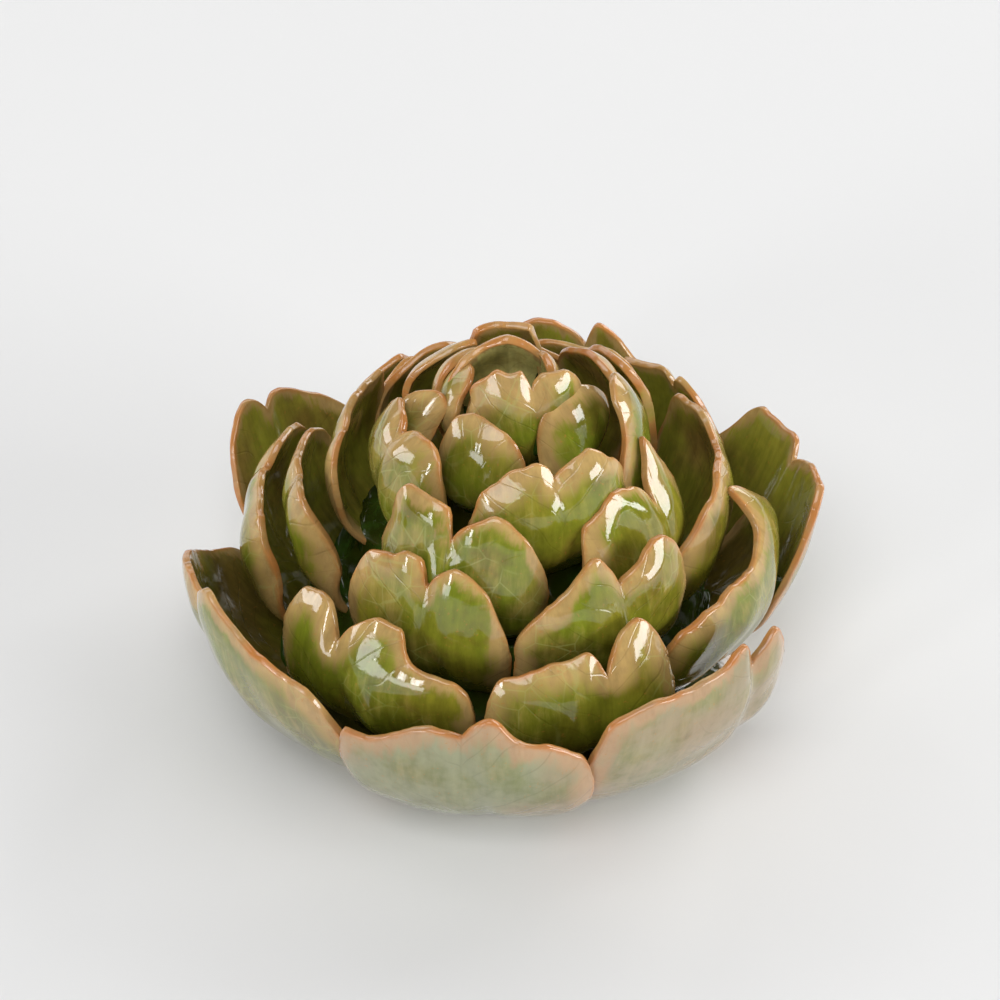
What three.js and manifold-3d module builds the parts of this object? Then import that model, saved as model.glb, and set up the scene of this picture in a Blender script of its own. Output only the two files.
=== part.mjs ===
// A glazed ceramic artichoke: hand-formed petals in six rings, pressed on to a core and fired as one piece.
// Millimetres, +Z up, standing on its foot at the origin. Azimuth 0 is -Y and grows towards +X.
import * as THREE from 'three';
import { mergeVertices } from 'three/addons/utils/BufferGeometryUtils.js';
import Module from 'manifold-3d';

const rimThickness = 2;
const rootThickness = 3.2;
const rowsUp = 4;
const rootWidth = 0.62; // share of the full width
const fullWidthAt = 0.75; // share of the height
const shortestEdge = 0.02; // shorter ones are closed after joining
const glaze = { color: 0x7d8a45, roughness: 0.12, metalness: 0 };

// The core under the petals, as radius and height: a flat foot, a rounded base and a dome.
const footRadius = 37;
const coreSides = 36;
const coreProfile = [
  [0, 0], [footRadius, 0], [40.5, 1], [41.5, 3], [40, 6], [33, 11], [26, 18],
  [20, 26], [16, 35], [10, 46], [5, 54], [0, 56],
];

// The petals of a ring rise from root through belly to notch, each a radius and a height.
// A petal's rim lists (distance along, height over the notch) from its own left to its own right.
// A petal may state its own root, belly, notch or cup, roll its margins in, lean its tip in or
// yaw about its midline, in degrees, or be folded along it.
const rings = [
  {
    root: [36, 3.2], belly: [55, 7], notch: [54.5, 31], cup: 0.95,
    petals: [
      { azimuth: -8, rim: [[-22, -11], [-20.5, -3.3], [-15, -2.5], [-5, 1.7], [0, 0], [4.5, 4.6], [9, 0.5],
        [16, -1.8], [20, -4.4], [22, -12]] },
      { azimuth: 48, belly: [52.8, 7.6], rim: [[-31, -9], [-28.5, 1], [-21, 3.6], [-12, 3.9], [-7, 4.6],
        [-3, 6.7], [0, 0], [3, 3.4], [6, 4.6], [8.5, 0], [11, -9]] },
      { azimuth: 291, belly: [53.2, 7.6], notch: [55.8, 31], cup: 0.85, rim: [[-38, -27], [-34, -20], [-29, -13], [-21, -6],
        [-11, 0.6], [-5, 2], [0, 0], [3, 4.8], [7, 8], [11, 6.5], [17, 4], [25, 2], [31, 0], [35, -9]] },
      { azimuth: 234, belly: [50, 8], rim: [[-27, -19], [-23, -13], [-17, -6.5], [-8, 0], [-3, 1.5],
        [0, 0], [3.5, 3.6], [10, 0.6], [13.5, -9]] },
      { azimuth: 108, belly: [48, 8], notch: [54, 31], rollLeft: 2, rim: [[-20, -12], [-17, -2],
        [-12, 4.4], [-7, 3.8], [-1.5, 2], [0, 0], [2.8, 3.4], [8, 2.3], [13, 2.4], [21, -6], [26, -11],
        [28, -17]] },
      { azimuth: 164, notch: [53.2, 31], rim: [[-25, -17], [-22, -10], [-9, -0.4], [-5.5, 3.4], [-2.2, 5],
        [0, 0], [4, 3.5], [9, 4.5], [14, 1.5], [20, -4], [24, -14]] },
    ],
  },
  {
    root: [29, 8], belly: [51, 18], notch: [44, 34], cup: 0.9,
    petals: [
      { azimuth: -40, rim: [[-13, -10], [-11.5, 1], [-9.5, 5.2], [-4, 6], [0, 0], [4, 5.8], [7, 7.4],
        [10.5, 6.6], [12.7, 2.4], [15.5, 0.2], [19.5, -0.4], [24, -2.6], [26, -9]] },
      { azimuth: 22, notch: [44, 32.5], rim: [[-21.5, -9], [-20.3, -2.5], [-17, 2.4], [-11, 3.2],
        [-3, 5], [0, 0], [2, 5], [4, 7.5], [6.5, 8.2], [10, 4.4], [12, -8]] },
      { azimuth: 94, belly: [52, 17], cup: 0.85, lean: 0.6, rim: [[-43, -15], [-40.5, -4], [-36, -1.5],
        [-30, -0.4], [-25, 0], [-18, -0.8], [-13, 0.8], [-10, 2.8], [-8, 6.5], [-6, 9.6], [-3.5, 6], [0, 0.5], [5, -5],
        [9, -11], [12, -19]] },
      { azimuth: 136, notch: [44, 36.7], rim: [[-12, -13], [-8.5, -5], [-7.6, -3.5], [-4.2, 2],
        [-1.8, 4], [0, 0], [1.8, 2.5], [5.2, 2], [10.5, 1], [15, -7]] },
      { azimuth: 203, rim: [[-16, -9], [-8, 1], [-3, 3], [0, 2], [3, 4.8], [8, 2.2], [11, -2], [15, -11]] },
      { azimuth: 255, rollRight: 4, rim: [[-19, -11], [-17, -4], [-11, 1.5], [-4, 3.8], [0, 0], [5, 2.5],
        [15, 2], [20, -3], [23, -12]] },
    ],
  },
  {
    root: [22, 15], belly: [41, 25], notch: [35.5, 43.5], cup: 0.9,
    petals: [
      { azimuth: -23, notch: [34.5, 43.5], rim: [[-15.7, -10], [-14.2, -2.4], [-11, 3.4], [-6.8, 4.2],
        [-4, 5.8], [-1.6, 5.3], [0, 0], [1.2, 2.8], [4.8, 5.2], [9, 2], [12.8, -3.6], [15.2, -13]] },
      { azimuth: 31.5, rim: [[-19, -10], [-17.5, -5.5], [-14, -1.2], [-9, 1.8], [-4, 6.5], [-1.6, 4],
        [0, 0], [4, 2.4], [9, 5], [12.8, 1], [15, -10]] },
      { azimuth: 101, notch: [36.5, 43.5], rollLeft: 6, rim: [[-28, -22], [-25, -9], [-16, 0], [-8, 2.2],
        [0, 0.5], [6.5, 1.2], [14.7, 0], [19, -12]] },
      { azimuth: 158, notch: [34, 43.5], rim: [[-15.5, -10], [-13, -1.2], [-9.8, 3], [-4.5, 4],
        [-2, 2.6], [0, 2], [4, 3], [10, 1], [15, -8]] },
      { azimuth: 205, notch: [35, 43.5], rim: [[-14, -10], [-9, -2], [-4, 0], [0, -1], [4, 0], [8, -4],
        [13, -14]] },
      { azimuth: 273, notch: [36, 43.5], rollRight: 7, rim: [[-23, -15], [-16, -2.3], [-5, 1], [0, 0],
        [4, 1], [8, -1], [13, -14]] },
    ],
  },
  {
    root: [17, 24], belly: [34.5, 32], notch: [26.5, 50], cup: 0.9,
    petals: [
      { azimuth: -19, belly: [36.5, 32], notch: [29, 50], rollLeft: 3, rim: [[-15, -9], [-13, -1],
        [-8.5, 7.4], [-5, 7.2], [-0.9, 5.4], [0, 0], [3, 4], [6.5, 5.6], [11.2, 3], [15, -2.2],
        [17.5, -11]] },
      { azimuth: 63, belly: [35.5, 31], notch: [28, 46], rim: [[-19, -8], [-17.5, 0], [-15.8, 3.5],
        [-13, 5.6], [-10, 7], [-6.2, 7.6], [-3.8, 6.5], [-1.4, 3.4], [0, 0], [0.8, 4.5], [2.5, 8.4],
        [4, 11], [5, 7.4], [7.2, 2], [9.5, -8]] },
      { azimuth: 132, rim: [[-8.5, -14], [-7, -7], [-5.8, 0.6], [-2.8, 5.6], [0, 6], [3.2, 5.4],
        [7, 2.4], [10.5, -8]] },
      { azimuth: 178, notch: [25, 50], rim: [[-13, -10], [-8, 0], [-3, 2], [0, 0], [4, 1], [8, 0],
        [13, -10]] },
      { azimuth: 218, rim: [[-14, -10], [-9, 1], [-4, 3], [0, 1], [3, 0], [7, -5], [10, -14]] },
      { azimuth: 263, notch: [28.5, 49.5], rim: [[-17.5, -8], [-14.2, 2.3], [-8, 2.3], [-2, 1.6], [0, 0],
        [2, 1], [4, -1], [8, -12]] },
    ],
  },
  {
    root: [13, 33], belly: [28.5, 43], notch: [18.5, 58], cup: 0.9,
    petals: [
      { azimuth: 21, belly: [31, 43], notch: [21.5, 58], rim: [[-16.5, -13], [-15, -7], [-12.5, -2],
        [-9.8, -0.2], [-6.2, 2.2], [-2.8, 2.8], [-0.9, 2], [0, 0], [2, 1], [6.2, 2.8], [9.8, 0.4],
        [13.2, -2.8], [17, -12]] },
      { azimuth: 86, notch: [20, 59], rim: [[-11, -14], [-10, -7.6], [-7.5, -3.2], [-5.6, 0.6],
        [-4, 4.4], [-1, 5.4], [3, 4], [6, -2], [8, -9]] },
      { azimuth: 133, rim: [[-12, -12], [-8.5, -3.8], [-6, 0.6], [-3, 2], [0, 1], [4.5, -1.4],
        [6.5, -2.7], [9, -9]] },
      { azimuth: 184, notch: [17.5, 60], rim: [[-9, -11], [-7.5, -6.7], [-6.2, -2.6], [-4.8, 2.2],
        [-1, 2.1], [1.8, 1.7], [4.5, 0], [5.2, -2.5], [7, -9]] },
      { azimuth: 222, notch: [17, 58], rim: [[-9, -8], [-6, 1.5], [-2, 2], [0, 1.5], [3, -1], [6, -9]] },
      { azimuth: 276, notch: [12.5, 59], yaw: -45, rim: [[-5, -8], [-3.5, 0], [-1, 2], [0, 1.8], [3, 0],
        [4.5, -4], [5.5, -8]] },
      { azimuth: 293, notch: [19.5, 57], rim: [[-13, -14], [-10, -3], [-7, 2.2], [-3, 2.8], [0, 0],
        [4, 3.2], [8, 2.5], [12, -1.5], [15.5, -12]] },
    ],
  },
  {
    root: [8, 50], belly: [12, 58], notch: [9, 62], cup: 1,
    petals: [
      { azimuth: -22, root: [11, 44], belly: [18.5, 50], notch: [10.5, 60], rim: [[-9, -13],
        [-8.5, -6.8], [-7.3, -3.2], [-5.8, -0.1], [-2.8, 1.5], [0, 1.8], [4.5, -0.5], [7.5, -3.5],
        [8.5, -6], [9, -13]] },
      { azimuth: 66, root: [10, 44], belly: [17, 49], notch: [11, 60], yaw: 30, rim: [[-9.4, -13],
        [-8.3, -6.5], [-7.4, -3.4], [-5.4, -0.6], [-3, 1.5], [0, 2.7], [3, 3], [5.4, 1.8], [7.8, -0.6],
        [9.8, -4], [11.8, -9], [13.2, -15]] },
      { azimuth: 40, root: [6, 50], belly: [9, 56], notch: [6.4, 64], cup: 1.6, yaw: 30, rim: [
        [-12.5, -10], [-10.8, -0.6], [-8, 1.6], [-5, 3.7], [-3.2, 2.9], [-1.2, 3.2], [0, 0], [1, 1.8],
        [2.8, 3], [5.5, 2.6], [7.8, 0.9], [10, -8]] },
      { azimuth: 262, notch: [8, 62], yaw: -8, rim: [[-5, -8], [-3.5, 1], [0, 3], [3, 1], [5, -3],
        [6.5, -9]] },
      { azimuth: 180, root: [7, 50], belly: [12, 60], notch: [6, 66], cup: 1.5, fold: 0.3, rim: [
        [-13, -13], [-9.5, -4.5], [-5, -0.8], [-0.6, 2.2], [0, 2.5], [0.6, 2.2], [5, -0.8], [9.5, -3.6],
        [14, -11]] },
      { azimuth: 112, root: [6, 50], belly: [10, 58], notch: [7, 65], rim: [[-4, -8], [-2.5, 0],
        [0, 1.5], [2.5, 0], [4, -6]] },
      { azimuth: 228, root: [9, 47], belly: [16, 54], notch: [11, 61], rim: [[-9, -9], [-6, -1], [-2, 2],
        [0, 1.5], [3, 0.5], [6, -2.5], [9, -10]] },
    ],
  },
];

const wasm = await Module();
wasm.setup();

function smoothstep(value) {
  return THREE.MathUtils.smoothstep(value, 0, 1);
}

// The petal's profile in the plane of its azimuth; past the notch it goes on along its end tangent.
function makeProfile(root, belly, notch, lean) {
  const curve = new THREE.QuadraticBezierCurve(
    new THREE.Vector2(...root), new THREE.Vector2(...belly), new THREE.Vector2(...notch));
  const length = curve.getLength();
  const tangent = curve.getTangent(1);
  const endAngle = Math.atan2(tangent.y, tangent.x);
  return {
    length,
    at(share) {
      const point = curve.getPoint(Math.min(share, 1));
      const past = Math.max(share - 1, 0) * length;
      const angle = endAngle + (lean * past) / 20;
      return point.add(new THREE.Vector2(Math.cos(angle), Math.sin(angle)).multiplyScalar(past));
    },
  };
}

// One point of the petal's middle surface: x millimetres along its rim, share of its height up.
// The cross-section is an arc, narrowed towards the root, whose margins may roll in.
function petalPoint(petal, profile, x, share) {
  const width = rootWidth
    + (1 - rootWidth) * Math.sin((Math.min(share / fullWidthAt, 1) * Math.PI) / 2);
  const along = x * width;
  const point = profile.at(share);
  const arcRadius = Math.max(
    petal.cup * THREE.MathUtils.lerp(petal.root[0], Math.max(petal.notch[0], 8), Math.min(share, 1)), 4);
  const halfWidth = x < 0 ? -petal.rim[0][0] : petal.rim.at(-1)[0];
  const opened = smoothstep((share - 0.25) / 0.6);
  const margin = Math.max((Math.abs(x) / halfWidth - 0.4) / 0.6, 0) ** 2 * opened;
  const roll = (x < 0 ? petal.rollLeft : petal.rollRight) * margin;
  const side = arcRadius * Math.sin(along / arcRadius) - Math.sign(x) * 0.3 * roll;
  const inward = arcRadius * (1 - Math.cos(along / arcRadius)) + roll
    + petal.fold * (Math.hypot(along, 0.5) - 0.5) * opened;
  const yaw = THREE.MathUtils.degToRad(petal.yaw) * opened;
  const across = side * Math.cos(yaw) + inward * Math.sin(yaw);
  const radius = point.x + side * Math.sin(yaw) - inward * Math.cos(yaw);
  const azimuth = THREE.MathUtils.degToRad(petal.azimuth);
  return new THREE.Vector3(
    radius * Math.sin(azimuth) + across * Math.cos(azimuth),
    -radius * Math.cos(azimuth) + across * Math.sin(azimuth),
    point.y);
}

// A closed blade: the middle surface's grid moved half the thickness out and in, with its edges joined.
function petalGeometry(petal) {
  const profile = makeProfile(petal.root, petal.belly, petal.notch, petal.lean);
  const columns = petal.rim.length;
  const grid = petal.rim.map(([x, rise]) => {
    const top = 1 + rise / profile.length;
    return Array.from({ length: rowsUp + 1 }, (_, row) =>
      petalPoint(petal, profile, x, (top * row) / rowsUp));
  });
  const positions = [];
  for (const face of [1, -1]) {
    for (let column = 0; column < columns; column++) {
      for (let row = 0; row <= rowsUp; row++) {
        const across = grid[Math.min(column + 1, columns - 1)][row].clone()
          .sub(grid[Math.max(column - 1, 0)][row]);
        const up = grid[column][Math.min(row + 1, rowsUp)].clone()
          .sub(grid[column][Math.max(row - 1, 0)]);
        const thickness = THREE.MathUtils.lerp(rootThickness, rimThickness, row / rowsUp);
        const offset = across.cross(up).normalize().multiplyScalar((face * thickness) / 2);
        positions.push(...grid[column][row].clone().add(offset).toArray());
      }
    }
  }
  const vertex = (face, column, row) => (face * columns + column) * (rowsUp + 1) + row;
  const triangles = [];
  const quad = (a, b, c, d) => triangles.push(a, b, c, a, c, d);
  for (let column = 0; column + 1 < columns; column++) {
    for (let row = 0; row < rowsUp; row++) {
      quad(vertex(0, column, row), vertex(0, column + 1, row),
        vertex(0, column + 1, row + 1), vertex(0, column, row + 1));
      triangles.push(vertex(1, column, row), vertex(1, column + 1, row + 1), vertex(1, column + 1, row));
      triangles.push(vertex(1, column, row), vertex(1, column, row + 1), vertex(1, column + 1, row + 1));
    }
    quad(vertex(0, column, rowsUp), vertex(0, column + 1, rowsUp),
      vertex(1, column + 1, rowsUp), vertex(1, column, rowsUp));
    quad(vertex(0, column + 1, 0), vertex(0, column, 0), vertex(1, column, 0), vertex(1, column + 1, 0));
  }
  for (let row = 0; row < rowsUp; row++) {
    quad(vertex(0, 0, row), vertex(0, 0, row + 1), vertex(1, 0, row + 1), vertex(1, 0, row));
    quad(vertex(0, columns - 1, row + 1), vertex(0, columns - 1, row),
      vertex(1, columns - 1, row), vertex(1, columns - 1, row + 1));
  }
  const geometry = new THREE.BufferGeometry();
  geometry.setAttribute('position', new THREE.Float32BufferAttribute(positions, 3));
  geometry.setIndex(triangles);
  return geometry;
}

function coreGeometry() {
  const profile = coreProfile.map(([radius, height]) => new THREE.Vector2(radius, height));
  const geometry = new THREE.LatheGeometry(profile, coreSides);
  geometry.deleteAttribute('normal');
  geometry.deleteAttribute('uv');
  geometry.rotateX(Math.PI / 2);
  return mergeVertices(geometry, 1e-4);
}

function toSolid(geometry) {
  return new wasm.Manifold(new wasm.Mesh({
    numProp: 3,
    vertProperties: new Float32Array(geometry.attributes.position.array),
    triVerts: new Uint32Array(geometry.index.array),
  }));
}

function toGeometry(solid) {
  const mesh = solid.getMesh();
  const geometry = new THREE.BufferGeometry();
  geometry.setAttribute('position', new THREE.BufferAttribute(mesh.vertProperties, 3));
  geometry.setIndex(new THREE.BufferAttribute(mesh.triVerts, 1));
  return geometry;
}

// The petals joined to the core. Only the outer shell is kept, so a hollow that joining seals is filled.
function makeHead() {
  let head = toSolid(coreGeometry());
  for (const ring of rings) {
    for (const petal of ring.petals) {
      const shape = { lean: 0, yaw: 0, rollLeft: 0, rollRight: 0, fold: 0, ...ring, ...petal };
      head = head.add(toSolid(petalGeometry(shape)));
    }
  }
  const shells = head.simplify(shortestEdge).decompose();
  return shells.reduce((best, shell) => (shell.volume() > best.volume() ? shell : best));
}

const head = new THREE.Mesh(toGeometry(makeHead()), new THREE.MeshStandardMaterial(glaze));
head.name = 'head';
const group = new THREE.Group();
group.add(head);

export default group;
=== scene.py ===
# A glossy glazed ceramic artichoke: hand-formed petals in six rings round a dark core, on a low foot.
import math

import bpy
import numpy as np
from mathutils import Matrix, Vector


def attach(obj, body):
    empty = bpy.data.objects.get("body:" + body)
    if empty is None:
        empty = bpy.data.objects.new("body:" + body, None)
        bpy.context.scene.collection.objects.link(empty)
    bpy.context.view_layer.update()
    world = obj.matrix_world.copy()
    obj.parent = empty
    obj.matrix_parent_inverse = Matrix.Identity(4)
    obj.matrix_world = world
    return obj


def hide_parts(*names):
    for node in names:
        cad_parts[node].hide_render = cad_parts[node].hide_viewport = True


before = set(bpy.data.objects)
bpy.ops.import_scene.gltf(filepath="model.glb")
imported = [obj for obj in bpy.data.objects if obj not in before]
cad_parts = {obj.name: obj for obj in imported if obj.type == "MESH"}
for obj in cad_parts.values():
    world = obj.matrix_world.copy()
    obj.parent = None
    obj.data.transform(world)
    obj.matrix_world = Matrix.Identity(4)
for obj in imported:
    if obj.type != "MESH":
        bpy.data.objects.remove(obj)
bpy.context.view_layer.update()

mm = 0.001

# Petals are in millimetres. Azimuth 0 is -Y and grows towards +X.
petalSettings = {
    "rimThickness": 1.1,
    "rimUneven": 0.16,  # the rim is thicker and thinner by this share
    "bodyThickness": 2.2,
    "rootThickness": 3.0,
    "lipReach": 4.2,  # the body thins down to the rim over this distance
    "lipOutside": 0.72,  # share of the thinning that is on the outer face
    "edgeRadius": 0.45,  # how far in the rounding of an edge reaches
    "columnSpacing": 0.5,
    "rowSpacing": 0.85,
    "rimSpacing": 0.3,
    "rootWidth": 0.62,  # share of the full width at the root
    "fullWidthAt": 0.75,  # share of the height where the petal is fully wide
    "opensBetween": [0.25, 0.85],  # shares of the height over which it folds, rolls and yaws
    "flatMiddle": 0.4,  # share of a half's width that a roll leaves alone
    "rollPull": 0.3,  # how much a roll narrows the petal
    "leanOver": 20,  # a lean is reached this far past the notch
    "rimWander": 0.25,
    "rimNicks": 0.08,  # small chips and steps in the cut edge
    "creaseDepth": 0.7,  # the valley that runs down from a notch
    "creaseWidth": 2.0,
    "creaseSlant": 0.18,
    "waveLengths": [9, 22],
    "rimSlopes": [2.2, 1.8],  # steepness at the ends and at a notch, over that of the next piece
    "seed": 41,
}

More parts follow.
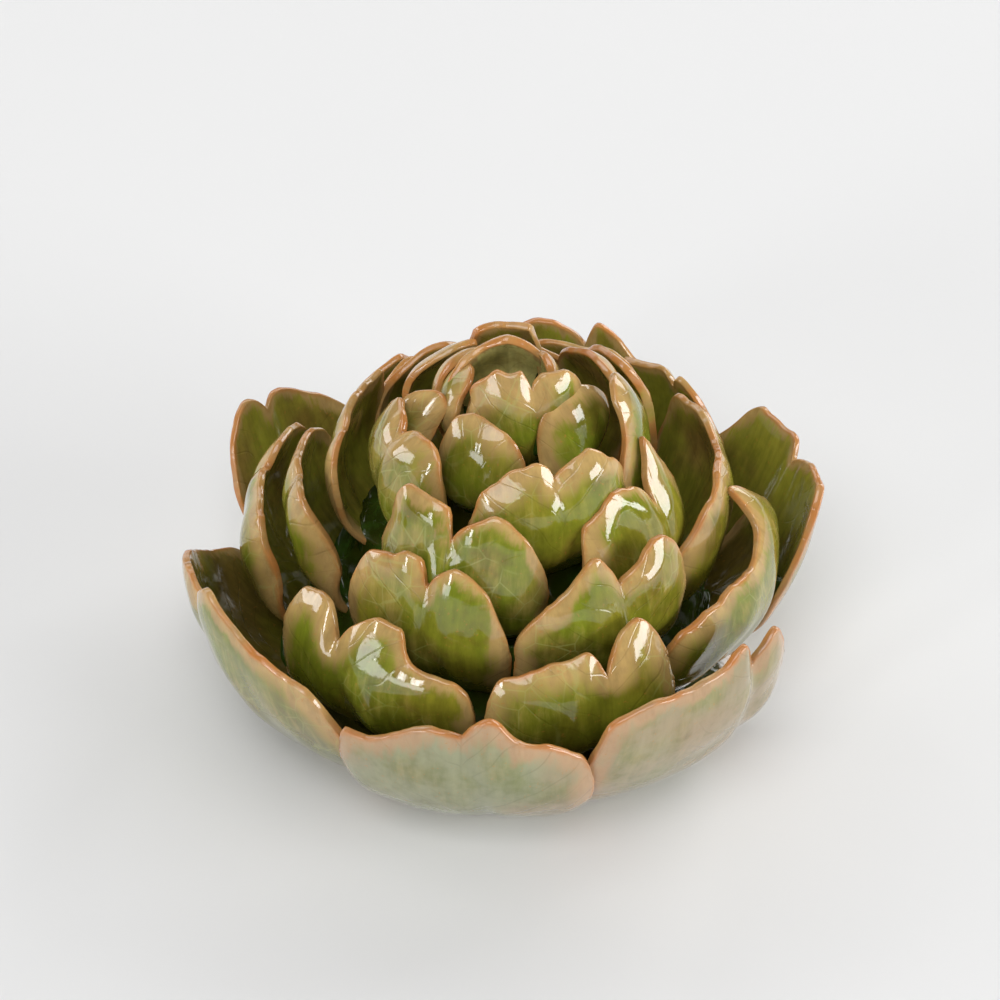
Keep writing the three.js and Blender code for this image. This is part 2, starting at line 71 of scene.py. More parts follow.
# A ring's petals share root, belly and notch, each a radius and a height, unless a petal states its own.
# A rim lists distance along and height over the notch, from the petal's own left to its right.
rings = [
    {"name": "outer", "root": [36, 3.2], "belly": [55, 7], "notch": [54.5, 31], "cup": 0.95, "milk": 0.9,
     "wave": 0.16, "petals": [
        {"azimuth": -8, "rim": [[-22, -11], [-20.5, -3.3], [-15, -2.5], [-5, 1.7], [0, 0], [4.5, 4.6],
            [9, 0.5], [16, -1.8], [20, -4.4], [22, -12]]},
        {"azimuth": 48, "belly": [52.8, 7.6], "rim": [[-31, -9], [-28.5, 1], [-21, 3.6], [-12, 3.9],
            [-7, 4.6], [-3, 6.7], [0, 0], [3, 3.4], [6, 4.6], [8.5, 0], [11, -9]]},
        {"azimuth": 291, "belly": [53.2, 7.6], "notch": [55.8, 31], "cup": 0.85, "milk": 0.25, "rim": [
            [-38, -27], [-34, -20], [-29, -13], [-21, -6], [-11, 0.6], [-5, 2], [0, 0], [3, 4.8], [7, 8],
            [11, 6.5], [17, 4], [25, 2], [31, 0], [35, -9]]},
        {"azimuth": 234, "belly": [50, 8], "rim": [[-27, -19], [-23, -13], [-17, -6.5], [-8, 0], [-3, 1.5],
            [0, 0], [3.5, 3.6], [10, 0.6], [13.5, -9]]},
        {"azimuth": 108, "belly": [48, 8], "notch": [54, 31], "rollLeft": 2, "rim": [[-20, -12], [-17, -2],
            [-12, 4.4], [-7, 3.8], [-1.5, 2], [0, 0], [2.8, 3.4], [8, 2.3], [13, 2.4], [21, -6], [26, -11],
            [28, -17]]},
        {"azimuth": 164, "notch": [53.2, 31], "rim": [[-25, -17], [-22, -10], [-9, -0.4], [-5.5, 3.4],
            [-2.2, 5], [0, 0], [4, 3.5], [9, 4.5], [14, 1.5], [20, -4], [24, -14]]},
    ]},
    {"name": "second", "root": [29, 8], "belly": [51, 18], "notch": [44, 34], "cup": 0.9, "petals": [
        {"azimuth": -40, "rim": [[-13, -10], [-11.5, 1], [-9.5, 5.2], [-4, 6], [0, 0], [4, 5.8], [7, 7.4],
            [10.5, 6.6], [12.7, 2.4], [15.5, 0.2], [19.5, -0.4], [24, -2.6], [26, -9]]},
        {"azimuth": 22, "notch": [44, 32.5], "rim": [[-21.5, -9], [-20.3, -2.5], [-17, 2.4], [-11, 3.2],
            [-3, 5], [0, 0], [2, 5], [4, 7.5], [6.5, 8.2], [10, 4.4], [12, -8]]},
        {"azimuth": 94, "belly": [52, 17], "cup": 0.85, "lean": 0.6, "rim": [[-43, -15], [-40.5, -4],
            [-36, -1.5], [-30, -0.4], [-25, 0], [-18, -0.8], [-13, 0.8], [-10, 2.8], [-8, 6.5], [-6, 9.6],
            [-3.5, 6], [0, 0.5], [5, -5], [9, -11], [12, -19]]},
        {"azimuth": 136, "notch": [44, 36.7], "rim": [[-12, -13], [-8.5, -5], [-7.6, -3.5], [-4.2, 2],
            [-1.8, 4], [0, 0], [1.8, 2.5], [5.2, 2], [10.5, 1], [15, -7]]},
        {"azimuth": 203, "rim": [[-16, -9], [-8, 1], [-3, 3], [0, 2], [3, 4.8], [8, 2.2], [11, -2],
            [15, -11]]},
        {"azimuth": 255, "rollRight": 4, "rim": [[-19, -11], [-17, -4], [-11, 1.5], [-4, 3.8], [0, 0],
            [5, 2.5], [15, 2], [20, -3], [23, -12]]},
    ]},
    {"name": "third", "root": [22, 15], "belly": [41, 25], "notch": [35.5, 43.5], "cup": 0.9, "petals": [
        {"azimuth": -23, "notch": [34.5, 43.5], "rim": [[-15.7, -10], [-14.2, -2.4], [-11, 3.4],
            [-6.8, 4.2], [-4, 5.8], [-1.6, 5.3], [0, 0], [1.2, 2.8], [4.8, 5.2], [9, 2], [12.8, -3.6],
            [15.2, -13]]},
        {"azimuth": 31.5, "rim": [[-19, -10], [-17.5, -5.5], [-14, -1.2], [-9, 1.8], [-4, 6.5], [-1.6, 4],
            [0, 0], [4, 2.4], [9, 5], [12.8, 1], [15, -10]]},
        {"azimuth": 101, "notch": [36.5, 43.5], "rollLeft": 6, "rim": [[-28, -22], [-25, -9], [-16, 0],
            [-8, 2.2], [0, 0.5], [6.5, 1.2], [14.7, 0], [19, -12]]},
        {"azimuth": 158, "notch": [34, 43.5], "rim": [[-15.5, -10], [-13, -1.2], [-9.8, 3], [-4.5, 4],
            [-2, 2.6], [0, 2], [4, 3], [10, 1], [15, -8]]},
        {"azimuth": 205, "notch": [35, 43.5], "rim": [[-14, -10], [-9, -2], [-4, 0], [0, -1], [4, 0],
            [8, -4], [13, -14]]},
        {"azimuth": 273, "notch": [36, 43.5], "rollRight": 7, "rim": [[-23, -15], [-16, -2.3], [-5, 1],
            [0, 0], [4, 1], [8, -1], [13, -14]]},
    ]},
    {"name": "fourth", "root": [17, 24], "belly": [34.5, 32], "notch": [26.5, 50], "cup": 0.9, "petals": [
        {"azimuth": -19, "belly": [36.5, 32], "notch": [29, 50], "rollLeft": 3, "rim": [[-15, -9],
            [-13, -1], [-8.5, 7.4], [-5, 7.2], [-0.9, 5.4], [0, 0], [3, 4], [6.5, 5.6], [11.2, 3],
            [15, -2.2], [17.5, -11]]},
        {"azimuth": 63, "belly": [35.5, 31], "notch": [28, 46], "rim": [[-19, -8], [-17.5, 0], [-15.8, 3.5],
            [-13, 5.6], [-10, 7], [-6.2, 7.6], [-3.8, 6.5], [-1.4, 3.4], [0, 0], [0.8, 4.5], [2.5, 8.4],
            [4, 11], [5, 7.4], [7.2, 2], [9.5, -8]]},
        {"azimuth": 132, "rim": [[-8.5, -14], [-7, -7], [-5.8, 0.6], [-2.8, 5.6], [0, 6], [3.2, 5.4],
            [7, 2.4], [10.5, -8]]},
        {"azimuth": 178, "notch": [25, 50], "rim": [[-13, -10], [-8, 0], [-3, 2], [0, 0], [4, 1], [8, 0],
            [13, -10]]},
        {"azimuth": 218, "rim": [[-14, -10], [-9, 1], [-4, 3], [0, 1], [3, 0], [7, -5], [10, -14]]},
        {"azimuth": 263, "notch": [28.5, 49.5], "rim": [[-17.5, -8], [-14.2, 2.3], [-8, 2.3], [-2, 1.6],
            [0, 0], [2, 1], [4, -1], [8, -12]]},
    ]},
    {"name": "bud", "root": [13, 33], "belly": [28.5, 43], "notch": [18.5, 58], "cup": 0.9, "petals": [
        {"azimuth": 21, "belly": [31, 43], "notch": [21.5, 58], "rim": [[-16.5, -13], [-15, -7],
            [-12.5, -2], [-9.8, -0.2], [-6.2, 2.2], [-2.8, 2.8], [-0.9, 2], [0, 0], [2, 1], [6.2, 2.8],
            [9.8, 0.4], [13.2, -2.8], [17, -12]]},
        {"azimuth": 86, "notch": [20, 59], "rim": [[-11, -14], [-10, -7.6], [-7.5, -3.2], [-5.6, 0.6],
            [-4, 4.4], [-1, 5.4], [3, 4], [6, -2], [8, -9]]},
        {"azimuth": 133, "rim": [[-12, -12], [-8.5, -3.8], [-6, 0.6], [-3, 2], [0, 1], [4.5, -1.4],
            [6.5, -2.7], [9, -9]]},
        {"azimuth": 184, "notch": [17.5, 60], "rim": [[-9, -11], [-7.5, -6.7], [-6.2, -2.6], [-4.8, 2.2],
            [-1, 2.1], [1.8, 1.7], [4.5, 0], [5.2, -2.5], [7, -9]]},
        {"azimuth": 222, "notch": [17, 58], "rim": [[-9, -8], [-6, 1.5], [-2, 2], [0, 1.5], [3, -1],
            [6, -9]]},
        {"azimuth": 276, "notch": [12.5, 59], "yaw": -45, "rim": [[-5, -8], [-3.5, 0], [-1, 2], [0, 1.8],
            [3, 0], [4.5, -4], [5.5, -8]]},
        {"azimuth": 293, "notch": [19.5, 57], "rim": [[-13, -14], [-10, -3], [-7, 2.2], [-3, 2.8], [0, 0],
            [4, 3.2], [8, 2.5], [12, -1.5], [15.5, -12]]},
    ]},
    {"name": "heart", "root": [8, 50], "belly": [12, 58], "notch": [9, 62], "cup": 1, "petals": [
        {"azimuth": -22, "root": [11, 44], "belly": [18.5, 50], "notch": [10.5, 60], "rim": [[-9, -13],
            [-8.5, -6.8], [-7.3, -3.2], [-5.8, -0.1], [-2.8, 1.5], [0, 1.8], [4.5, -0.5], [7.5, -3.5],
            [8.5, -6], [9, -13]]},
        {"azimuth": 66, "root": [10, 44], "belly": [17, 49], "notch": [11, 60], "yaw": 30, "rim": [
            [-9.4, -13], [-8.3, -6.5], [-7.4, -3.4], [-5.4, -0.6], [-3, 1.5], [0, 2.7], [3, 3],
            [5.4, 1.8], [7.8, -0.6], [9.8, -4], [11.8, -9], [13.2, -15]]},
        {"azimuth": 40, "root": [6, 50], "belly": [9, 56], "notch": [6.4, 64], "cup": 1.6, "yaw": 30,
            "rim": [[-12.5, -10], [-10.8, -0.6], [-8, 1.6], [-5, 3.7], [-3.2, 2.9], [-1.2, 3.2], [0, 0],
            [1, 1.8], [2.8, 3], [5.5, 2.6], [7.8, 0.9], [10, -8]]},
        {"azimuth": 262, "notch": [8, 62], "yaw": -8, "rim": [[-5, -8], [-3.5, 1], [0, 3], [3, 1],
            [5, -3], [6.5, -9]]},
        {"azimuth": 180, "root": [7, 50], "belly": [12, 60], "notch": [6, 66], "cup": 1.5, "fold": 0.3,
            "rim": [[-13, -13], [-9.5, -4.5], [-5, -0.8], [-0.6, 2.2], [0, 2.5], [0.6, 2.2], [5, -0.8],
            [9.5, -3.6], [14, -11]]},
        {"azimuth": 112, "root": [6, 50], "belly": [10, 58], "notch": [7, 65], "rim": [[-4, -8], [-2.5, 0],
            [0, 1.5], [2.5, 0], [4, -6]]},
        {"azimuth": 228, "root": [9, 47], "belly": [16, 54], "notch": [11, 61], "rim": [[-9, -9], [-6, -1],
            [-2, 2], [0, 1.5], [3, 0.5], [6, -2.5], [9, -10]]},
    ]},
]


def smoothStep(value):
    value = np.clip(value, 0, 1)
    return value * value * (3 - 2 * value)


def hasNotch(rim):
    middle = [i for i, (x, y) in enumerate(rim) if x == 0 and y == 0]
    return bool(middle) and rim[middle[0] - 1][1] > 0


# Height of the rim: cubic pieces through its points. A slope is the harmonic mean of its neighbours'
# slopes, flat at a peak, steep at both ends, and a notch has a sharp corner.
def rimCurve(rim, x):
    px, py = np.array(rim, float).T
    step = np.diff(py) / np.diff(px)
    before, after = step[:-1], step[1:]
    same = before * after > 0
    middle = np.where(same, 2 * before * after / np.where(same, before + after, 1), 0)
    atEnd, atNotch = petalSettings["rimSlopes"]
    arriving = np.concatenate([[0], middle, [atEnd * step[-1]]])
    leaving = np.concatenate([[atEnd * step[0]], middle, [0]])
    if hasNotch(rim):
        notch = np.flatnonzero((px == 0) & (py == 0))[0]
        arriving[notch] = atNotch * step[notch - 1]
        leaving[notch] = atNotch * step[notch]
    piece = np.clip(np.searchsorted(px, x, side="right") - 1, 0, len(step) - 1)
    width = px[piece + 1] - px[piece]
    u = (x - px[piece]) / width
    return ((2 * u**3 - 3 * u**2 + 1) * py[piece] + (u**3 - 2 * u**2 + u) * width * leaving[piece]
            + (3 * u**2 - 2 * u**3) * py[piece + 1] + (u**3 - u**2) * width * arriving[piece + 1])


# Slow unevenness, about 1 high: a sum of sine waves of random direction, length and phase.
def slowWaves(rng, x, y, shortest, longest, count=7):
    total = np.zeros(np.broadcast(x, y).shape)
    for turn, length, phase in zip(rng.uniform(0, math.tau, count), rng.uniform(shortest, longest, count),
                                   rng.uniform(0, math.tau, count)):
        total += np.sin((x * math.cos(turn) + y * math.sin(turn)) * math.tau / length + phase)
    return total / math.sqrt(count)


# Radius and height up the middle of a petal: a quadratic curve from root past belly to notch, then straight
# on along its end tangent, turned inwards by lean.
def petalProfile(petal, share):
    root, belly, notch = (np.array(petal[key], float) for key in ("root", "belly", "notch"))
    t = np.linspace(0, 1, 80)[:, None]
    curve = (1 - t) ** 2 * root + 2 * t * (1 - t) * belly + t**2 * notch
    length = np.hypot(*np.diff(curve, axis=0).T).sum()
    end = math.atan2(notch[1] - belly[1], notch[0] - belly[0])
    t = np.clip(share, 0, 1)[..., None]
    point = (1 - t) ** 2 * root + 2 * t * (1 - t) * belly + t**2 * notch
    past = np.maximum(share - 1, 0) * length
    angle = end + petal["lean"] * past / petalSettings["leanOver"]
    return length, point[..., 0] + np.cos(angle) * past, point[..., 1] + np.sin(angle) * past


# Share of the full width: a quarter sine from the root's to 1.
def widthShare(share):
    narrow = petalSettings["rootWidth"]
    return narrow + (1 - narrow) * np.sin(np.minimum(share / petalSettings["fullWidthAt"], 1) * math.pi / 2)


# Middle surface of a petal: its profile swept round an arc as wide as its cup, folded along its midline,
# with the margins rolled in by the square of their distance out, and the whole yawed as it opens.
def petalMiddle(petal, x, share):
    opts = petalSettings
    rim = petal["rim"]
    along = x * widthShare(share)
    reach = petal["root"][0] + (max(petal["notch"][0], 8) - petal["root"][0]) * np.minimum(share, 1)
    arc = np.maximum(petal["cup"] * reach, 4)
    start, end = opts["opensBetween"]
    opened = smoothStep((share - start) / (end - start))
    half = np.where(x < 0, -rim[0][0], rim[-1][0])
    flat = opts["flatMiddle"]
    margin = np.maximum((np.abs(x) / half - flat) / (1 - flat), 0) ** 2 * opened
    roll = np.where(x < 0, petal["rollLeft"], petal["rollRight"]) * margin
    side = arc * np.sin(along / arc) - np.sign(x) * opts["rollPull"] * roll
    inward = arc * (1 - np.cos(along / arc)) + roll + petal["fold"] * (np.hypot(along, 0.5) - 0.5) * opened
    yaw = math.radians(petal["yaw"]) * opened
    _, radius, height = petalProfile(petal, share)
    across = side * np.cos(yaw) + inward * np.sin(yaw)
    radius = radius + side * np.sin(yaw) - inward * np.cos(yaw)
    azimuth = math.radians(petal["azimuth"])
    return np.stack([radius * math.sin(azimuth) + across * math.cos(azimuth),
                     -radius * math.cos(azimuth) + across * math.sin(azimuth), height], -1)


# Distances from low to high, close together within radius of both ends, where an edge is rounded.
def edgeSpaced(low, high, spacing, radius):
    lead = radius * (1 - np.cos(np.linspace(0, math.pi / 2, 6)))
    count = max(int((high - low - 2 * radius) / spacing), 6)
    return np.concatenate([low + lead, np.linspace(low + radius, high - radius, count + 1)[1:-1],
                           high - lead[::-1]])


# A closed shell: the middle surface moved out and in along its normals by half the rim's thickness, which
# falls to nothing in a rounded step at every edge, plus a lip: the body's extra thickness, which grows with
# the distance from the edge. Its two faces share the border vertices. lowerPart is the share of the height
# that is built.
def petalShell(petal, index, lowerPart=None):
    opts = petalSettings
    rng = np.random.default_rng(opts["seed"] + index)
    rim = petal["rim"]
    length = petalProfile(petal, np.zeros(1))[0]
    x = edgeSpaced(rim[0][0], rim[-1][0], opts["columnSpacing"], opts["edgeRadius"])
    top = length + rimCurve(rim, x)
    top = top + opts["rimWander"] * slowWaves(rng, x, 0 * x, 4, 11)
    top = top + opts["rimNicks"] * np.tanh(2.5 * slowWaves(rng, x, 0 * x, 2, 5))
    if lowerPart is not None:
        top = np.minimum(top, lowerPart * length)
    rows = edgeSpaced(0, 1, opts["rowSpacing"] / length, opts["edgeRadius"] / length)
    side, level = np.meshgrid(x, rows, indexing="ij")
    tall = top[:, None]
    up = level * tall
    share = up / length
    middle = petalMiddle(petal, side, share)

    # distances to the edges, in millimetres
    fromMargin = np.minimum(side - x[0], x[-1] - side) * widthShare(share)
    rimX = np.arange(x[0], x[-1], opts["rimSpacing"])
    rimY = np.interp(rimX, x, top)
    fromTop = np.hypot(side[..., None] - rimX, up[..., None] - rimY).min(-1)
    fromEdge = np.minimum(fromMargin, fromTop)

    normal = np.cross(np.gradient(middle, axis=0), np.gradient(middle, axis=1))
    normal /= np.linalg.norm(normal, axis=-1, keepdims=True) + 1e-12

    # slow waves left by the fingers that pressed the clay, and the valley below a notch
    wave = petal["wave"] * slowWaves(rng, side, up, *opts["waveLengths"])
    valleyLine = side - rng.uniform(-opts["creaseSlant"], opts["creaseSlant"]) * (tall - up)
    valley = opts["creaseDepth"] * np.exp(-(valleyLine / opts["creaseWidth"]) ** 2) * hasNotch(rim)
    moved = (wave - valley * smoothStep(share / 0.6)) * smoothStep(share / 0.35)
    middle = middle + normal * moved[..., None]

    def rounded(distance):
        inside = np.clip(distance / opts["edgeRadius"], 0, 1)
        return (1 - (1 - inside) ** 3) ** (1 / 3)

    thin = opts["rimThickness"] * (1 + opts["rimUneven"] * slowWaves(rng, side, 0 * side, 5, 16))
    body = opts["rootThickness"] + (opts["bodyThickness"] - opts["rootThickness"]) * level
    inwards = np.clip(fromEdge / opts["lipReach"], 0, 1)
    grown = (body - thin) * (1 - (1 - inwards) ** 2) * rounded(up)
    half = thin / 2 * rounded(fromMargin) * rounded(tall - up) * rounded(up)
    outer = middle + normal * (half + opts["lipOutside"] * grown)[..., None]
    inner = middle - normal * (half + (1 - opts["lipOutside"]) * grown)[..., None]

    nx, ny = side.shape
    border = np.zeros((nx, ny), bool)
    border[[0, -1], :] = True
    border[:, [0, -1]] = True
    outerIds = np.arange(nx * ny).reshape(nx, ny)
    innerIds = outerIds.copy()
    innerIds[~border] = nx * ny + np.arange(np.count_nonzero(~border))

    def quads(ids):
        return np.stack([ids[:-1, :-1], ids[1:, :-1], ids[1:, 1:], ids[:-1, 1:]], -1).reshape(-1, 4)

    def both(values, insideValues=None):
        insideValues = values if insideValues is None else insideValues
        return np.concatenate([values.ravel(), insideValues[~border]])

    faces = np.concatenate([quads(outerIds), quads(innerIds)[:, ::-1]])
    points = np.concatenate([outer.reshape(-1, 3), inner[~border]])
    ones = np.ones((nx, ny))
    attributes = {
        "fromRim": both(fromEdge),
        "outside": both(np.where(border, 0.5, ones), 0 * ones),
        "rise": both(share),
        "side": both(side),
        "upward": both(up),
        "tone": both(ones * rng.uniform(0, 1)),
        "ring": both(ones * petal["ring"]),
        "milk": both(ones * petal["milk"]),
    }
    return points * mm, faces, attributes


def buildMesh(name, points, faces, attributes=None):
    mesh = bpy.data.meshes.new(name)
    mesh.from_pydata(points.tolist(), [], faces.tolist() if isinstance(faces, np.ndarray) else faces)
    mesh.polygons.foreach_set("use_smooth", np.ones(len(mesh.polygons), bool))
    for key, values in (attributes or {}).items():
        layer = mesh.attributes.new(key, "FLOAT", "POINT")
        layer.data.foreach_set("value", np.asarray(values, np.float32))
    mesh.update()
    piece = bpy.data.objects.new(name, mesh)
    bpy.context.scene.collection.objects.link(piece)
    return piece


coreSettings = {
    "profile": [[0, 0], [36.6, 0], [39.2, 0.4], [40.9, 1.5], [41.6, 3], [41, 4.8], [38.6, 7], [33, 11],
        [26, 18], [20, 26], [16, 35], [10, 46], [5, 54], [0, 56]],
    "stepsBetween": 7,
    "sides": 168,
    "waveHeight": 0.25,
    "wavesFrom": 0.3,  # the flat underside stays flat up to here
}


# Foot and dome under the petals: a profile of radius and height, smoothed by cubic pieces, turned about the
# axis, with slow waves added to the radius.
def buildCore():
    opts = coreSettings
    r, z = np.array(opts["profile"], float).T
    knots = np.concatenate([[0], np.cumsum(np.hypot(np.diff(r), np.diff(z)))])
    fine = np.unique(np.concatenate([np.linspace(a, b, opts["stepsBetween"] + 1)
                                     for a, b in zip(knots[:-1], knots[1:])]))
    piece = np.clip(np.searchsorted(knots, fine, side="right") - 1, 0, len(knots) - 2)
    width = knots[piece + 1] - knots[piece]
    u = (fine - knots[piece]) / width

    def through(values, flatTo=None):
        slope = np.gradient(values, knots)
        if flatTo is not None:
            slope[:flatTo] = 0
        return ((2 * u**3 - 3 * u**2 + 1) * values[piece] + (u**3 - 2 * u**2 + u) * width * slope[piece]
                + (3 * u**2 - 2 * u**3) * values[piece + 1] + (u**3 - u**2) * width * slope[piece + 1])

    radius = through(r)[1:-1]  # the two poles are single vertices
    height = np.maximum(through(z, flatTo=2), 0)[1:-1]
    angle = np.linspace(0, math.tau, opts["sides"], endpoint=False)[:, None]
    rng = np.random.default_rng(petalSettings["seed"])
    wave = opts["waveHeight"] * slowWaves(rng, angle * 40, height[None], 14, 60)
    ring = radius[None] + wave * smoothStep((height - opts["wavesFrom"]) / 3)
    tall = np.broadcast_to(height, ring.shape)
    points = np.stack([ring * np.sin(angle), -ring * np.cos(angle), tall], -1)
    sides, levels = ring.shape
    ids = np.arange(sides * levels).reshape(sides, levels)
    ahead = np.roll(ids, -1, axis=0)
    quads = np.stack([ids[:, :-1], ahead[:, :-1], ahead[:, 1:], ids[:, 1:]], -1).reshape(-1, 4)
    bottom, top = np.full(sides, sides * levels), np.full(sides, sides * levels + 1)
    floorFan = np.stack([bottom, ahead[:, 0], ids[:, 0]], -1)
    topFan = np.stack([top, ids[:, -1], ahead[:, -1]], -1)
    points = np.concatenate([points.reshape(-1, 3), [[0, 0, z[0]], [0, 0, z[-1]]]])
    return buildMesh("core", points * mm, quads.tolist() + floorFan.tolist() + topFan.tolist())


poolSettings = {
    "lowerPart": 0.74,  # share of an outer petal that glaze pooled against
    "morePerRing": 0.02,
    "fullBetween": [9, 40],  # at these heights the crevices are filled further out from the core
    "fullBy": 6.5,
    "fullFades": [8, 10],  # over these heights the filling sets in and ends
    "voxel": 1.0,
    "smoothing": 0.5,
    "rounds": 16,
    "sink": 0.5,
}


# Glaze that ran into the crevices: the lower parts of the petals and the core are remeshed as one and
# smoothed, which rounds every inner corner, then sunk, so that only these fillets stand out of the petals.
def buildPools(petalValues, core):
    opts = poolSettings
    coreMesh = core.data
    corePoints = np.empty(len(coreMesh.vertices) * 3, np.float32)
    coreMesh.vertices.foreach_get("co", corePoints)
    corePoints = corePoints.reshape(-1, 3)
    radius = np.hypot(corePoints[:, 0], corePoints[:, 1])[:, None]
    height = corePoints[:, 2:] / mm
    low, high = opts["fullBetween"]
    setIn, ending = opts["fullFades"]
    filled = opts["fullBy"] * smoothStep((height - low) / setIn) * smoothStep((high - height) / ending)
    corePoints[:, :2] *= 1 + filled * mm / np.maximum(radius, 1.0 * mm)
    points = [corePoints]
    faces = [list(face.vertices) for face in coreMesh.polygons]
    offset = len(coreMesh.vertices)
    for index, petal in enumerate(petalValues):
        shell, quads, _ = petalShell(petal, index, opts["lowerPart"] + opts["morePerRing"] * petal["ring"])
        points.append(shell)
        faces += (quads + offset).tolist()
        offset += len(shell)
    joined = buildMesh("joined", np.concatenate(points), faces)
    remesh = joined.modifiers.new("remesh", "REMESH")
    remesh.mode = "VOXEL"
    remesh.voxel_size = opts["voxel"] * mm
    smooth = joined.modifiers.new("smooth", "SMOOTH")
    smooth.factor = opts["smoothing"]
    smooth.iterations = opts["rounds"]
    sink = joined.modifiers.new("sink", "DISPLACE")
    sink.mid_level = 0
    sink.strength = -opts["sink"] * mm
    evaluated = joined.evaluated_get(bpy.context.evaluated_depsgraph_get())
    mesh = bpy.data.meshes.new_from_object(evaluated)
    bpy.data.objects.remove(joined)
    mesh.name = "crevice_glaze"
    mesh.polygons.foreach_set("use_smooth", np.ones(len(mesh.polygons), bool))
    pools = bpy.data.objects.new("crevice_glaze", mesh)
    bpy.context.scene.collection.objects.link(pools)
    print("crevice glaze", len(mesh.polygons), "faces")
    return pools


# Short calls that add a node to the material and link or set its inputs.
def nodeBench(material):
    material.use_nodes = True
    tree = material.node_tree
    tree.nodes.clear()

    def connect(socket, value):
        if isinstance(value, bpy.types.NodeSocket):
            tree.links.new(value, socket)
        elif isinstance(value, tuple) and len(value) == 3 and socket.type == "RGBA":
            socket.default_value = (*value, 1.0)
        else:
            socket.default_value = value

    def add(kind, inputs=None, **settings):
        node = tree.nodes.new(kind)
        for key, value in settings.items():
            setattr(node, key, value)
        for key, value in (inputs or {}).items():
            connect(node.inputs[key], value)
        return node

    def maths(operation, a, b=0.0, c=0.0):
        return add("ShaderNodeMath", {0: a, 1: b, 2: c}, operation=operation).outputs[0]

    def spread(value, low, high, newLow=0.0, newHigh=1.0):
        inputs = {"Value": value, "From Min": low, "From Max": high, "To Min": newLow, "To Max": newHigh}
        return add("ShaderNodeMapRange", inputs, interpolation_type="SMOOTHSTEP").outputs["Result"]

    def blend(factor, a, b, kind="MIX"):
        node = add("ShaderNodeMix", data_type="RGBA", blend_type=kind)
        for number, value in zip((0, 6, 7), (factor, a, b)):
            connect(node.inputs[number], value)
        return node.outputs[2]

    def attribute(name):
        return add("ShaderNodeAttribute", attribute_name=name).outputs["Fac"]

    def noise(scale, detail, vector, roughness=0.5):
        inputs = {"Vector": vector, "Scale": scale, "Detail": detail, "Roughness": roughness}
        return add("ShaderNodeTexNoise", inputs).outputs["Fac"]

    return add, maths, spread, blend, attribute, noise


# Reaches and spacings are in millimetres, covers are shares.
glazeSettings = {
    "edgeColor": (0.52, 0.19, 0.045),  # iron breaking through on the very edge
    "thinColor": (0.52, 0.335, 0.13),
    "outerThinColor": (0.47, 0.29, 0.165),  # the same on milky petals
    "thinCover": 0.9,
    "innerReach": 2.2,  # how far in from the rim the glaze is thin
    "outerReach": [2.2, 6.8],
    "reachWander": 5.5,
    "oliveColor": (0.23, 0.21, 0.020),
    "brightColor": (0.18, 0.215, 0.016),
    "clayColor": (0.42, 0.30, 0.095),
    "clayCover": 0.6,
    "innerColor": (0.30, 0.29, 0.034),
    "innerBrown": (0.27, 0.18, 0.045),
    "heartColor": (0.60, 0.54, 0.19),
    "brownColor": (0.17, 0.105, 0.022),
    "brownCover": 0.55,
    # painted shade low down between the petals, partly thicker glaze; the leaf veins use this colour too
    "veinAndShadeColor": (0.050, 0.046, 0.002),
    "shadeCover": 0.92,
    "celadonColor": (0.315, 0.32, 0.20),
    "blushColor": (0.36, 0.27, 0.165),
    "veinSpacing": 2.6,
    "veinCover": 0.15,
    "crackColor": (0.46, 0.50, 0.17),
    "cracksPerMetre": 190.0,
    "crackCover": 0.24,
    "speckCover": 0.3,
    "roughness": 0.05,
    "edgeRoughness": 0.16,
    "bumpStrength": 0.25,
    "bumpDepth": 0.0006,  # in metres
}
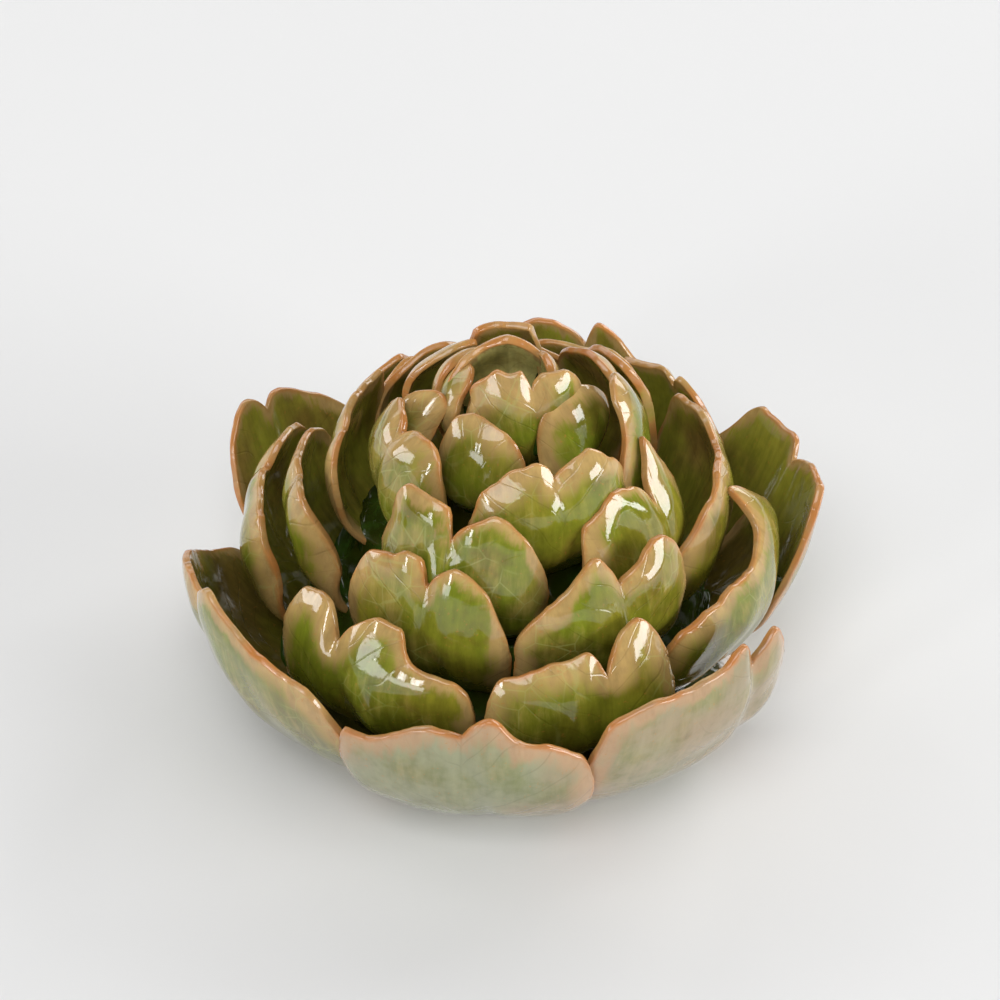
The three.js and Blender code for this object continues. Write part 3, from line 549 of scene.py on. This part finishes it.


# Glaze by its thickness: iron brown on the very edge, tan where it is thin, olive to green where it lies
# thick, darkened low down by thicker glaze and by painted shade between the petals, with fibres and leaf
# veins that follow each petal, and a net of crazing.
def glazeMaterial():
    opts = glazeSettings
    material = bpy.data.materials.new("petalGlaze")
    add, maths, spread, blend, attribute, noise = nodeBench(material)
    place = add("ShaderNodeTexCoord").outputs["Object"]
    fromRim, outside, rise = attribute("fromRim"), attribute("outside"), attribute("rise")
    side, upward, tone, ring = attribute("side"), attribute("upward"), attribute("tone"), attribute("ring")

    cloud = noise(120, 4, place, 0.6)
    coarse = noise(55, 3, place)
    fine = noise(480, 3, place)
    own = maths("MULTIPLY", tone, 90.0)
    fibreSpace = add("ShaderNodeCombineXYZ", {0: maths("MULTIPLY", side, 0.62),
                                              1: maths("MULTIPLY", upward, 0.11), 2: own}).outputs[0]
    fibre = noise(1.0, 5, fibreSpace, 0.65)

    # the tan of thin glaze reaches further in on the outer faces, and wanders
    wander = maths("SUBTRACT", maths("ADD", cloud, fibre), 1.0)
    worn = maths("MULTIPLY_ADD", wander, opts["reachWander"], fromRim)
    reachOut = maths("MULTIPLY", spread(coarse, 0.32, 0.68, *opts["outerReach"]),
                     maths("MULTIPLY_ADD", ring, 0.02, 0.82))
    reachIn = opts["innerReach"]
    reach = maths("MULTIPLY_ADD", outside, maths("SUBTRACT", reachOut, reachIn), reachIn)
    thin = spread(maths("DIVIDE", worn, reach), 0.25, 1.0, 1.0, 0.0)
    edge = spread(maths("MULTIPLY_ADD", fine, 1.2, fromRim), 0.6, 1.5, 1.0, 0.0)

    # thick glaze
    patch = spread(maths("ADD", noise(42, 2, place), maths("MULTIPLY", tone, 0.12)), 0.44, 0.66)
    green = blend(patch, opts["oliveColor"], opts["brightColor"])
    rubbing = maths("ADD", maths("MULTIPLY", noise(75, 3, place), 0.65), maths("MULTIPLY", fibre, 0.35))
    rubbed = maths("MULTIPLY", spread(rubbing, 0.46, 0.66), opts["clayCover"])
    green = blend(rubbed, green, opts["clayColor"])
    inner = blend(spread(coarse, 0.42, 0.68), opts["innerColor"], opts["innerBrown"])
    inner = blend(spread(ring, 4.2, 4.8), inner, opts["heartColor"])
    body = blend(outside, inner, green)
    brown = spread(noise(95, 4, place, 0.6), 0.5, 0.68, 0.0, opts["brownCover"])
    body = blend(brown, body, opts["brownColor"])
    # painted shade: each petal darkens towards its lower part, deep among its neighbours, partly glaze
    # lying thicker there; outer faces take it in full, inner faces at 65%
    depthReach = maths("MULTIPLY_ADD", ring, -0.12, 0.95)
    depth = maths("DIVIDE", maths("MULTIPLY_ADD", fibre, 0.2, rise), depthReach)
    deepShade = maths("MULTIPLY", spread(depth, 0.3, 1.3, opts["shadeCover"], 0.0),
                 maths("MULTIPLY_ADD", outside, 0.35, 0.65))
    body = blend(deepShade, body, opts["veinAndShadeColor"])

    # the big outer petals are milky underneath, with a blush here and there
    milky = maths("MULTIPLY", attribute("milk"), outside)
    milk = maths("MULTIPLY", milky, spread(cloud, 0.3, 0.65, 0.5, 1.0))
    under = blend(spread(noise(30, 2, place), 0.46, 0.62), opts["celadonColor"], opts["blushColor"])
    body = blend(milk, body, under)

    # leaf veins: a midrib, and side veins that leave it at a slant and bend upwards
    away = maths("POWER", maths("ABSOLUTE", side), 0.8)
    petalSpace = add("ShaderNodeCombineXYZ", {0: side, 1: upward, 2: own}).outputs[0]
    slant = maths("MULTIPLY_ADD", away, -1.6, upward)
    slant = maths("MULTIPLY_ADD", noise(0.09, 1, petalSpace), 9.0, slant)
    sideVein = spread(maths("PINGPONG", slant, opts["veinSpacing"]), 0.0, 0.3, 1.0, 0.0)
    midrib = spread(maths("ABSOLUTE", side), 0.0, 0.35, 1.0, 0.0)
    showing = spread(noise(60, 2, place), 0.40, 0.62)
    vein = maths("MULTIPLY", maths("MAXIMUM", sideVein, maths("MULTIPLY", midrib, 0.6)), showing)

    # a wide net of crazing shows paler in the thick glaze
    cell = add("ShaderNodeTexVoronoi", {"Vector": place, "Scale": opts["cracksPerMetre"]},
               feature="DISTANCE_TO_EDGE")
    crack = maths("MULTIPLY", spread(cell.outputs["Distance"], 0.008, 0.034, 1.0, 0.0),
                  spread(noise(75, 2, place), 0.44, 0.58))
    crack = maths("MULTIPLY", crack, maths("SUBTRACT", outside, milky))

    tan = blend(milky, opts["thinColor"], opts["outerThinColor"])
    colour = blend(maths("MULTIPLY", thin, opts["thinCover"]), body, tan)
    mottle = maths("ADD", spread(fibre, 0.3, 0.7, -0.17, 0.12), spread(fine, 0.3, 0.7, -0.09, 0.07))
    streak = maths("MULTIPLY_ADD", mottle, maths("MULTIPLY_ADD", milk, -0.8, 1.0), 1.0)
    streaks = add("ShaderNodeCombineColor", {0: streak, 1: streak, 2: streak}).outputs[0]
    colour = blend(1.0, colour, streaks, "MULTIPLY")
    colour = blend(maths("MULTIPLY", vein, opts["veinCover"]), colour, opts["veinAndShadeColor"])
    colour = blend(maths("MULTIPLY", crack, opts["crackCover"]), colour, opts["crackColor"])
    colour = blend(maths("MULTIPLY", edge, spread(cloud, 0.32, 0.64, 0.15, 0.9)), colour, opts["edgeColor"])
    speck = spread(noise(1500, 2, place), 0.66, 0.72)
    colour = blend(maths("MULTIPLY", speck, opts["speckCover"]), colour, opts["edgeColor"])

    rough = spread(maths("MULTIPLY_ADD", fine, 0.5, edge), 0.3, 1.4,
                   opts["roughness"], opts["edgeRoughness"])
    relief = maths("MULTIPLY_ADD", cloud, 0.6, maths("MULTIPLY", fine, 0.12))
    relief = maths("MULTIPLY_ADD", fibre, 0.2, relief)
    relief = maths("MULTIPLY_ADD", vein, -0.3, relief)
    bump = add("ShaderNodeBump", {"Strength": opts["bumpStrength"], "Distance": opts["bumpDepth"],
                                  "Height": relief})
    shader = add("ShaderNodeBsdfPrincipled", {"Base Color": colour, "Roughness": rough,
                                              "Normal": bump.outputs["Normal"], "IOR": 1.5,
                                              "Coat Weight": 0.25, "Coat Roughness": 0.02, "Coat IOR": 1.6})
    add("ShaderNodeOutputMaterial", {"Surface": shader.outputs[0]})
    return material


poolGlazeSettings = {
    "dark": (0.022, 0.034, 0.003),
    "green": (0.040, 0.100, 0.012),
    "roughness": 0.04,
}


# Thick green glass, with slow changes of depth.
def poolMaterial():
    opts = poolGlazeSettings
    material = bpy.data.materials.new("creviceGlaze")
    add, maths, spread, blend, attribute, noise = nodeBench(material)
    place = add("ShaderNodeTexCoord").outputs["Object"]
    colour = blend(spread(noise(140, 4, place, 0.6), 0.4, 0.7), opts["dark"], opts["green"])
    rough = spread(noise(300, 2, place), 0.3, 0.7, opts["roughness"], 0.1)
    bump = add("ShaderNodeBump", {"Strength": 0.1, "Distance": 0.0003, "Height": noise(300, 2, place)})
    shader = add("ShaderNodeBsdfPrincipled", {"Base Color": colour, "Roughness": rough,
                                              "Normal": bump.outputs["Normal"], "IOR": 1.5})
    add("ShaderNodeOutputMaterial", {"Surface": shader.outputs[0]})
    return material


coreGlazeSettings = {
    "footColor": (0.42, 0.40, 0.27),
    "bandColor": (0.33, 0.19, 0.085),
    "darkColor": (0.030, 0.033, 0.003),
    "clayColor": (0.60, 0.46, 0.34),
    "wander": 0.0016,
    "bandFrom": [0.0034, 0.0048],  # heights in metres
    "darkFrom": [0.0056, 0.0075],
}


# By height: bare clay on the flat foot, pale glaze on the foot's side, a brown line where it thins, and
# dark glaze between the petals.
def coreMaterial():
    opts = coreGlazeSettings
    material = bpy.data.materials.new("coreGlaze")
    add, maths, spread, blend, attribute, noise = nodeBench(material)
    place = add("ShaderNodeTexCoord").outputs["Object"]
    height = add("ShaderNodeSeparateXYZ", {0: place}).outputs["Z"]
    wander = maths("SUBTRACT", noise(130, 4, place, 0.6), 0.5)
    level = maths("MULTIPLY_ADD", wander, opts["wander"], height)
    colour = blend(spread(level, 0.0002, 0.0007), opts["clayColor"], opts["footColor"])
    colour = blend(spread(level, *opts["bandFrom"]), colour, opts["bandColor"])
    colour = blend(spread(level, *opts["darkFrom"]), colour, opts["darkColor"])
    rough = spread(level, 0.0002, 0.0009, 0.8, 0.09)
    bump = add("ShaderNodeBump", {"Strength": 0.2, "Distance": 0.0005, "Height": noise(500, 4, place)})
    shader = add("ShaderNodeBsdfPrincipled", {"Base Color": colour, "Roughness": rough,
                                              "Normal": bump.outputs["Normal"], "IOR": 1.55,
                                              "Coat Weight": 0.5, "Coat Roughness": 0.04, "Coat IOR": 1.6})
    add("ShaderNodeOutputMaterial", {"Surface": shader.outputs[0]})
    return material


glaze = glazeMaterial()
plainPetal = {"lean": 0, "yaw": 0, "rollLeft": 0, "rollRight": 0, "fold": 0, "milk": 0, "wave": 0.3}
petalValues = []
petals = []
for ringIndex, ring in enumerate(rings):
    shared = {key: value for key, value in ring.items() if key != "petals"}
    for number, own in enumerate(ring["petals"]):
        petal = {**plainPetal, **shared, **own, "ring": ringIndex}
        points, faces, attributes = petalShell(petal, len(petals))
        piece = buildMesh(f"petal_{ring['name']}_{number + 1}", points, faces, attributes)
        piece.data.materials.append(glaze)
        petalValues.append(petal)
        petals.append(piece)
print("petals", len(petals), "quads", sum(len(p.data.polygons) for p in petals))

core = buildCore()
core.data.materials.append(coreMaterial())
pools = buildPools(petalValues, core)
pools.data.materials.append(poolMaterial())
for piece in (*petals, core, pools):
    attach(piece, "root")
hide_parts("head")

floorSettings = {
    "size": 12.0,
    "color": (0.80, 0.80, 0.80),
    "paler": 0.985,  # how much the colour drifts
}


def floorMaterial():
    material = bpy.data.materials.new("paleFloor")
    add, maths, spread, blend, attribute, noise = nodeBench(material)
    place = add("ShaderNodeTexCoord").outputs["Object"]
    drifted = tuple(value * floorSettings["paler"] for value in floorSettings["color"])
    colour = blend(noise(14, 4, place), drifted, floorSettings["color"])
    bump = add("ShaderNodeBump", {"Strength": 0.03, "Distance": 0.0005, "Height": noise(900, 3, place)})
    shader = add("ShaderNodeBsdfPrincipled", {"Base Color": colour, "Roughness": 0.75,
                                              "Normal": bump.outputs["Normal"], "Specular IOR Level": 0.25})
    add("ShaderNodeOutputMaterial", {"Surface": shader.outputs[0]})
    return material


half = floorSettings["size"] / 2
corners = np.array([[-half, -half, 0], [half, -half, 0], [half, half, 0], [-half, half, 0]])
floor = buildMesh("floor", corners, np.array([[0, 1, 2, 3]]))
floor.data.materials.append(floorMaterial())

# A softbox stands at an azimuth, counted as the petals' is, an elevation and a distance, and faces the
# origin. Sizes are width and height in metres, power is in watts.
studioSettings = {
    "worldStrength": 0.05,
    "softboxes": {
        "top": {"azimuth": 0, "elevation": 85, "distance": 2.0, "size": (1.3, 1.3), "power": 5},
        "front": {"azimuth": 345, "elevation": 54, "distance": 2.0, "size": (1.4, 1.1), "power": 19},
        "strip": {"azimuth": 320, "elevation": 20, "distance": 2.0, "size": (0.2, 0.5), "power": 5},
        "leftFront": {"azimuth": 318, "elevation": 4, "distance": 2.2, "size": (0.9, 0.6), "power": 10},
        "right": {"azimuth": 72, "elevation": 14, "distance": 2.0, "size": (1.5, 0.6), "power": 29},
        "rightBack": {"azimuth": 138, "elevation": 26, "distance": 2.0, "size": (1.1, 1.1), "power": 17},
        "left": {"azimuth": 262, "elevation": 10, "distance": 2.0, "size": (0.9, 0.5), "power": 8},
        "leftBack": {"azimuth": 225, "elevation": 30, "distance": 2.0, "size": (1.2, 1.0), "power": 6},
        "back": {"azimuth": 188, "elevation": 34, "distance": 2.0, "size": (1.4, 1.0), "power": 8},
    },
}
world = bpy.data.worlds.new("studio")
world.use_nodes = True
background = world.node_tree.nodes["Background"]
background.inputs["Color"].default_value = (1, 1, 1, 1)
background.inputs["Strength"].default_value = studioSettings["worldStrength"]
bpy.context.scene.world = world
for name, box in studioSettings["softboxes"].items():
    light = bpy.data.lights.new(name, "AREA")
    light.shape = "RECTANGLE"
    light.size, light.size_y = box["size"]
    light.energy = box["power"]
    azimuth, elevation = math.radians(box["azimuth"]), math.radians(box["elevation"])
    outwards = Vector((math.sin(azimuth) * math.cos(elevation), -math.cos(azimuth) * math.cos(elevation),
                       math.sin(elevation)))
    lamp = bpy.data.objects.new(name, light)
    lamp.location = outwards * box["distance"]
    lamp.rotation_euler = (-outwards).to_track_quat("-Z", "Y").to_euler()
    bpy.context.scene.collection.objects.link(lamp)

cameraSettings = {
    "aim": (-0.0013, 0.0025, 0.034),
    "elevation": 40.2,
    "distance": 0.6,
    "lens": 124.4,
    "sensorWidth": 36,
    "clipStart": 0.01,
}
tilt = math.radians(cameraSettings["elevation"])
aim = Vector(cameraSettings["aim"])
camera = bpy.data.objects.new("camera", bpy.data.cameras.new("camera"))
camera.location = aim + cameraSettings["distance"] * Vector((0, -math.cos(tilt), math.sin(tilt)))
camera.rotation_euler = (math.pi / 2 - tilt, 0, 0)
camera.data.lens = cameraSettings["lens"]
camera.data.sensor_width = cameraSettings["sensorWidth"]
camera.data.clip_start = cameraSettings["clipStart"]
bpy.context.scene.collection.objects.link(camera)
bpy.context.scene.camera = camera
bpy.context.scene.view_settings.view_transform = "Standard"
